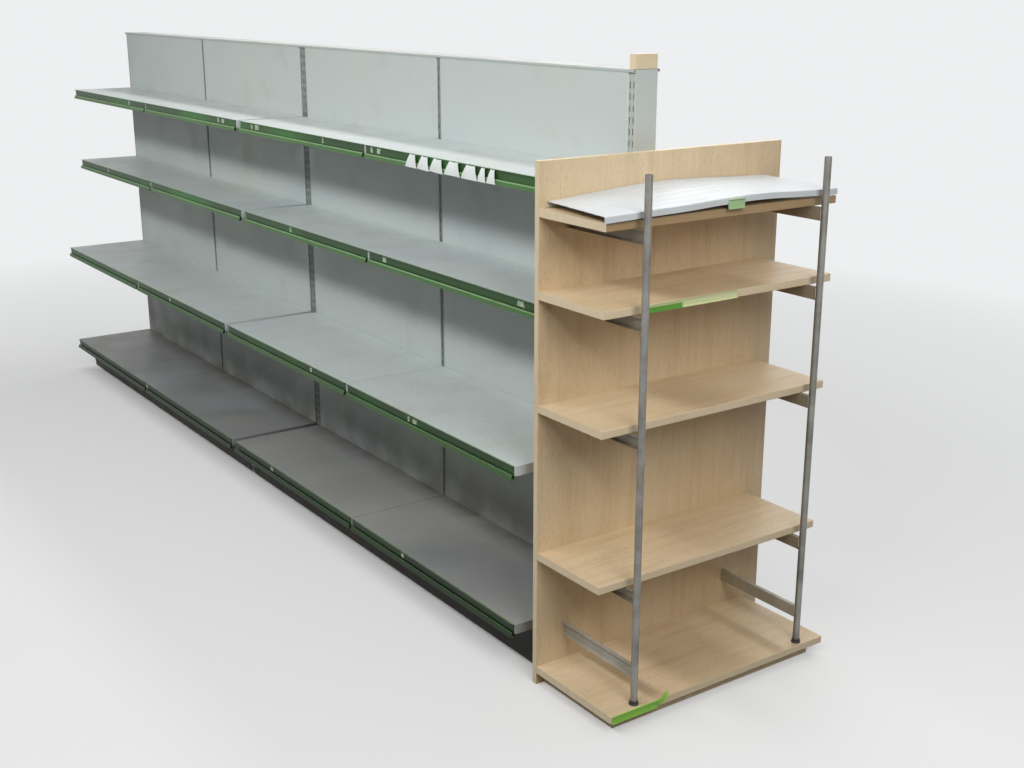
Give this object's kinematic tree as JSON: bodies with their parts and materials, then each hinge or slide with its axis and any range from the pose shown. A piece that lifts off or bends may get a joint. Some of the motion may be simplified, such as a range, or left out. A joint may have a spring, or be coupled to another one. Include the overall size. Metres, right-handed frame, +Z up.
{
  "type": "shop shelving run",
  "caption": "Double-sided steel shop shelving run with slotted uprights, hooked brackets, price strips and a beech shelf unit at one end.",
  "frame": {"origin": "centre of the foot under the upright at the middle of the run, near half, on the floor", "axes": "+X along the run towards the beech end unit, +Y towards the rear aisle, +Z up; the picture's aisle is on -Y"},
  "size_m": [4.4734, 0.914, 1.7696],
  "materials": {
    "white_steel": "powder coated, satin",
    "dark_steel": "powder coated, matt",
    "foot_plastic": "moulded",
    "green_strip": "extruded, glossy",
    "lime_strip": "extruded, glossy",
    "beech": "beech faced board, satin",
    "liner_plastic": "white sheet",
    "tube_steel": "dull grey metal"
  },
  "bodies": {
    "root": {"upright_far": "white_steel", "uprights_middle": "white_steel", "upright_near": "white_steel", "base_legs_front": "white_steel", "base_legs_rear": "white_steel", "crossbeams": "white_steel", "back_panels_front": "white_steel", "back_panels_rear": "white_steel", "top_caps": "white_steel", "base_decks_front": "white_steel", "lower_shelves_front": "white_steel", "middle_shelves_front": "white_steel", "top_shelves_front": "white_steel", "base_decks_rear": "white_steel", "lower_shelves_rear": "white_steel", "middle_shelves_rear": "white_steel", "top_shelves_rear": "white_steel", "lower_brackets_front": "white_steel", "middle_brackets_front": "white_steel", "top_brackets_front": "white_steel", "lower_brackets_rear": "white_steel", "middle_brackets_rear": "white_steel", "top_brackets_rear": "white_steel", "levelling_feet": "foot_plastic", "price_strips_front": "green_strip", "price_strips_rear": "green_strip", "kick_plates_front": "dark_steel", "kick_plates_rear": "dark_steel", "end_board": "beech", "end_batten": "beech", "end_plinth": "beech", "end_shelf_bottom": "beech", "end_shelf_second": "beech", "end_shelf_third": "beech", "end_shelf_fourth": "beech", "end_shelf_top": "beech", "end_block": "beech", "end_liner": "liner_plastic", "end_tube_left": "tube_steel", "end_tube_right": "tube_steel", "end_arms_left": "tube_steel", "end_arms_right": "tube_steel", "end_price_strips": "lime_strip"}
  },
  "joints": []
}
